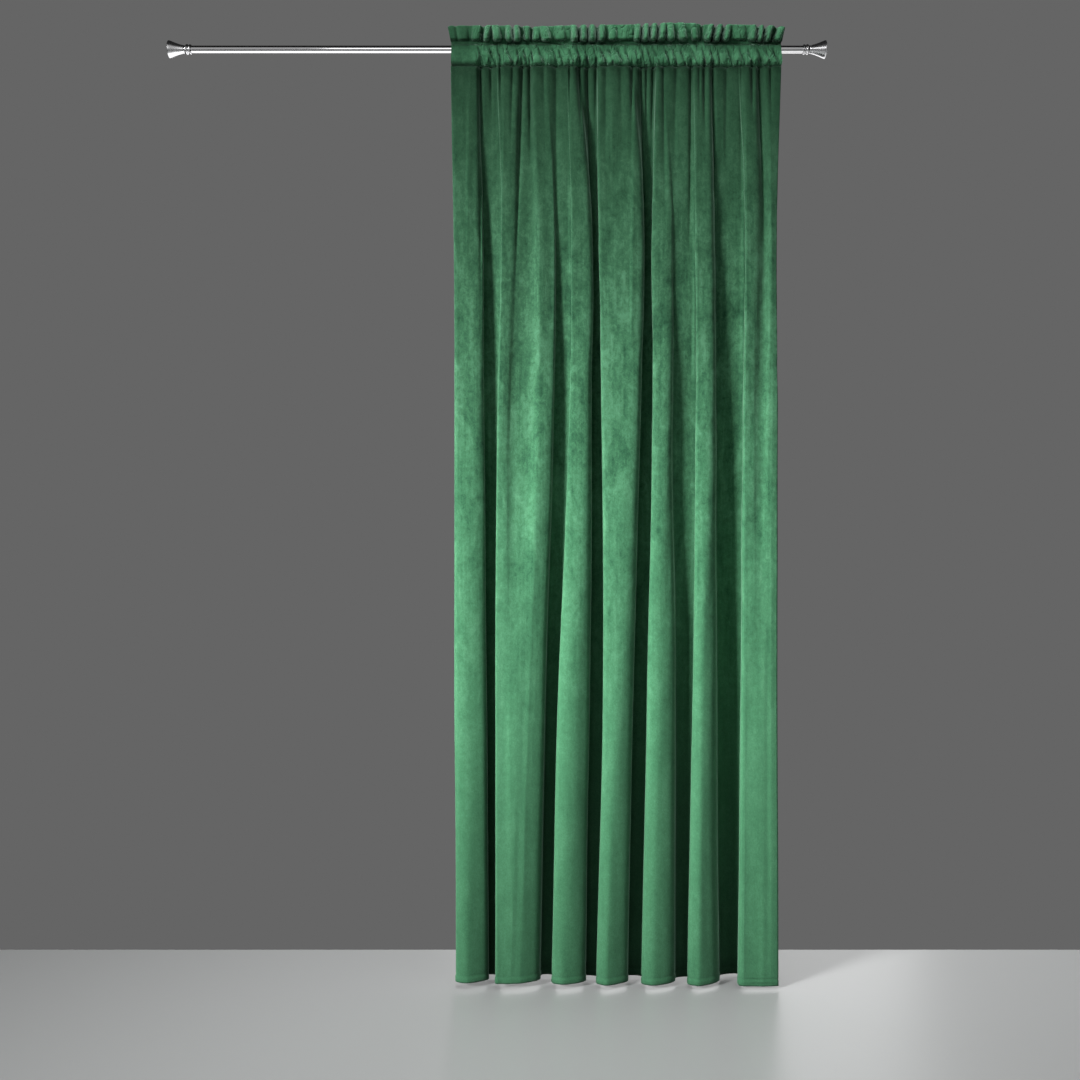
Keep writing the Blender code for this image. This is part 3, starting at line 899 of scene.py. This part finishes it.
def noise_at(tree, place, pattern):
    """A noise texture after one of the patterns; gives the noise's output."""
    mapping = add_node(tree, "ShaderNodeMapping", Scale=pattern.stretch)
    tree.links.new(place, mapping.inputs["Vector"])
    texture = tree.nodes.new("ShaderNodeTexNoise")
    for name in ("Scale", "Detail", "Roughness", "Distortion"):
        texture.inputs[name].default_value = getattr(pattern, name.lower())
    tree.links.new(mapping.outputs["Vector"], texture.inputs["Vector"])
    return texture.outputs["Fac"]


def blend_value(tree, operation, a, b):
    """A math node; a and b are sockets or numbers."""
    node = tree.nodes.new("ShaderNodeMath")
    node.operation = operation
    for socket, value in zip(node.inputs, (a, b)):
        if isinstance(value, (int, float)):
            socket.default_value = value
        else:
            tree.links.new(value, socket)
    return node.outputs[0]


def weighted_sum(tree, parts):
    """Sum of sockets, each times its weight."""
    total = 0.0
    for socket, weight in parts:
        total = blend_value(tree, "ADD", blend_value(tree, "MULTIPLY", socket, weight), total)
    return total


def map_range(tree, value, low, high, start, stop):
    """A value taken from one range to another and held at its ends."""
    node = add_node(tree, "ShaderNodeMapRange")
    for name, number in zip(("From Min", "From Max", "To Min", "To Max"), (low, high, start, stop)):
        node.inputs[name].default_value = number
    tree.links.new(value, node.inputs["Value"])
    return node.outputs["Result"]


def colour_ramp(tree, factor, stops):
    """A colour ramp over a factor."""
    ramp = tree.nodes.new("ShaderNodeValToRGB")
    points = ramp.color_ramp.elements
    while len(points) < len(stops):
        points.new(1.0)
    for point, (place, colour) in zip(points, stops):
        point.position = place
        point.color = (*colour, 1.0)
    tree.links.new(factor, ramp.inputs["Fac"])
    return ramp.outputs["Color"]


def crush_marks(tree, place, height):
    """Uneven tone of crushed pile, around zero, that fades towards the hem and the heading."""
    noises = ((CRUSH, CRUSH_SHARE), (MARKS, MARKS_SHARE), (STREAKS, STREAKS_SHARE))
    rough = weighted_sum(tree, [(noise_at(tree, place, pattern), share) for pattern, share in noises])
    low_fade, top_fade = map_range(tree, height, *MARKS_LOW), map_range(tree, height, *MARKS_TOP)
    shown = blend_value(tree, "MULTIPLY", low_fade, top_fade)
    return blend_value(tree, "MULTIPLY", blend_value(tree, "SUBTRACT", rough, CRUSH_MIDDLE), shown)


def painted_shade(tree, along, height, look):
    """Painted shade: the share of its colour the cloth keeps, less in creases found by ambient occlusion,
    near the heading, near the hem and at the flat left end.
    """
    # Painted shade in creases: darker where ambient occlusion finds cloth close by.
    crease_occlusion = add_node(tree, "ShaderNodeAmbientOcclusion", Distance=CREASE_SHADE_REACH)
    crease_occlusion.samples = CREASE_SHADE_SAMPLES
    unshaded_share = map_range(tree, crease_occlusion.outputs["AO"], *look.open_air, 0.0, 1.0)
    darkest_shade = map_range(tree, height, *CREASE_SHADE_RUN, *look.crease_tone)
    lighter = blend_value(tree, "MULTIPLY", unshaded_share, blend_value(tree, "SUBTRACT", 1.0, darkest_shade))
    # Painted shade: darker towards the heading, where less light falls.
    shaded_top = map_range(tree, height, *TOP_SHADE_RUN, 1.0, look.top_tone)
    # Painted shade: darker towards the hem.
    shaded_hem = map_range(tree, height, *HEM_SHADE)
    # Painted shade on the flat left end of the heading, which faces away from the light.
    shaded_end = map_range(tree, along, *END_RUN, look.end_tone, 1.0)
    shade = blend_value(tree, "ADD", darkest_shade, lighter)
    for tone in (shaded_top, shaded_hem, shaded_end):
        shade = blend_value(tree, "MULTIPLY", shade, tone)
    return shade


def gathered_facets(tree, place, along, look):
    """Height of the small facets of gathered cloth, which the flat left end goes without."""
    bent = blend_value(tree, "SUBTRACT", noise_at(tree, place, CRUMPLE), 0.5)
    facets = map_range(tree, blend_value(tree, "ABSOLUTE", bent, 0.0), *FACET_RUN, 0.0, 1.0)
    return blend_value(tree, "MULTIPLY", facets, map_range(tree, along, *END_RUN, 0.0, look.crumple))


def velvet_material(look):
    """Green velvet: crush marks that fade towards the hem, upright streaks, nap grain, a soft sheen, and
    painted shade in creases, near the heading, near the hem and at the flat left end.
    """
    material, tree, shader = new_material(look.name)
    place = tree.nodes.new("ShaderNodeTexCoord").outputs["Object"]
    split = tree.nodes.new("ShaderNodeSeparateXYZ")
    tree.links.new(place, split.inputs[0])
    along, height = split.outputs["X"], split.outputs["Z"]
    uneven = crush_marks(tree, place, height)
    grain = noise_at(tree, place, GRAIN)
    tone = blend_value(tree, "ADD", weighted_sum(tree, ((uneven, 1.0), (grain, GRAIN_TONE))), BASE_TONE)
    # The lift scales the colour; in the heading's copy it is raised as painted light for the light its
    # bulges catch.
    stops = [(stop, tuple(look.lift * part for part in colour)) for stop, colour in VELVET_STOPS]
    # The colour is scaled by the painted shade.
    shaded_colour = tree.nodes.new("ShaderNodeVectorMath")
    shaded_colour.operation = "SCALE"
    tree.links.new(colour_ramp(tree, tone, stops), shaded_colour.inputs[0])
    tree.links.new(painted_shade(tree, along, height, look), shaded_colour.inputs["Scale"])
    tree.links.new(shaded_colour.outputs["Vector"], shader.inputs["Base Color"])
    for name, value in VELVET_SURFACE.items():
        shader.inputs[name].default_value = value
    facets = gathered_facets(tree, place, along, look)
    relief = weighted_sum(tree, ((uneven, CRUSH_RELIEF), (grain, GRAIN_RELIEF), (facets, 1.0)))
    nap = add_node(tree, "ShaderNodeBump", Strength=NAP_STRENGTH, Distance=NAP_HEIGHT)
    tree.links.new(relief, nap.inputs["Height"])
    tree.links.new(nap.outputs["Normal"], shader.inputs["Normal"])
    return material


def chrome_material(name, dullness):
    """Chrome with faint lengthwise polishing marks."""
    material, tree, shader = new_material(name)
    place = tree.nodes.new("ShaderNodeTexCoord").outputs["Object"]
    marks = blend_value(tree, "MULTIPLY", noise_at(tree, place, POLISH), POLISH_DEPTH)
    tree.links.new(blend_value(tree, "ADD", marks, dullness), shader.inputs["Roughness"])
    shader.inputs["Base Color"].default_value = CHROME_COLOUR
    shader.inputs["Metallic"].default_value = 1.0
    return material


def build_floor():
    """A plain pale floor just under the hem."""
    level = -(HEM_DOWN + HEM_FALL + FLOOR_GAP) * MM
    bpy.ops.mesh.primitive_plane_add(size=1, location=(0, FLOOR_BACK - 0.5 * FLOOR_DEPTH, level))
    floor = bpy.context.object
    floor.name = "floor"
    floor.scale = (FLOOR_WIDTH, FLOOR_DEPTH, 1)
    material, _, shader = new_material("pale_floor")
    shader.inputs["Base Color"].default_value = FLOOR_COLOUR
    shader.inputs["Roughness"].default_value = FLOOR_ROUGHNESS
    floor.data.materials.append(material)


def add_light(row):
    """A soft area light that points at its target."""
    light = bpy.data.lights.new(row.name, "AREA")
    light.shape = "RECTANGLE"
    light.size, light.size_y = row.size
    light.energy = row.power
    light.spread = np.radians(row.spread)
    obj = bpy.data.objects.new(row.name, light)
    obj.location = row.place
    way = Vector(row.target) - Vector(row.place)
    obj.rotation_euler = way.to_track_quat("-Z", "Y").to_euler()
    obj.visible_camera = False
    bpy.context.scene.collection.objects.link(obj)
    return obj


def light_scene():
    """All lights, and a sky that is brighter to the camera than it is as a light."""
    for row in LIGHTS:
        add_light(row)
    for row in UNSEEN_LIGHTS:
        add_light(row).visible_glossy = False
    for shine in SHINES:
        fore = ("fore", FORE_BAND, FORE_WIDTH, shine.fore)
        under = ("under", UNDER_BAND, UNDER_WIDTH, shine.under)
        for kind, place, width, power in (fore, under):
            name, size = f"{kind}_band_{shine.side}", (shine.length, width)
            row = Light(name, (shine.x, *place), (shine.x, 0.0, 0.0), size, power * shine.length, 180)
            add_light(row).visible_diffuse = False
    world = bpy.data.worlds.new("sky")
    world.use_nodes = True
    tree = world.node_tree
    seen = tree.nodes.new("ShaderNodeLightPath").outputs["Is Camera Ray"]
    added = blend_value(tree, "MULTIPLY", seen, SKY_SEEN - SKY_LIGHT)
    strength = blend_value(tree, "ADD", added, SKY_LIGHT)
    tree.links.new(strength, tree.nodes["Background"].inputs["Strength"])
    tree.nodes["Background"].inputs["Color"].default_value = (1.0, 1.0, 1.0, 1.0)
    scene = bpy.context.scene
    scene.world = world
    scene.view_settings.view_transform = "Standard"


def add_camera():
    """A level camera left of the curtain's middle, at half its height."""
    camera = bpy.data.cameras.new("camera")
    camera.lens = CAMERA_LENS
    camera.sensor_width = CAMERA_SENSOR
    obj = bpy.data.objects.new("camera", camera)
    obj.location = CAMERA_PLACE
    obj.rotation_euler = (np.pi / 2, 0, 0)
    bpy.context.scene.collection.objects.link(obj)
    bpy.context.scene.camera = obj


def main():
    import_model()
    panel = build_panel(velvet_material(PANEL_VELVET))
    heading = build_heading(velvet_material(HEADING_VELVET))
    polished = chrome_material("polished_chrome", ROD_DULLNESS)
    build_metalwork(polished, chrome_material("satin_chrome", FITTING_DULLNESS))
    build_floor()
    light_scene()
    add_camera()


main()
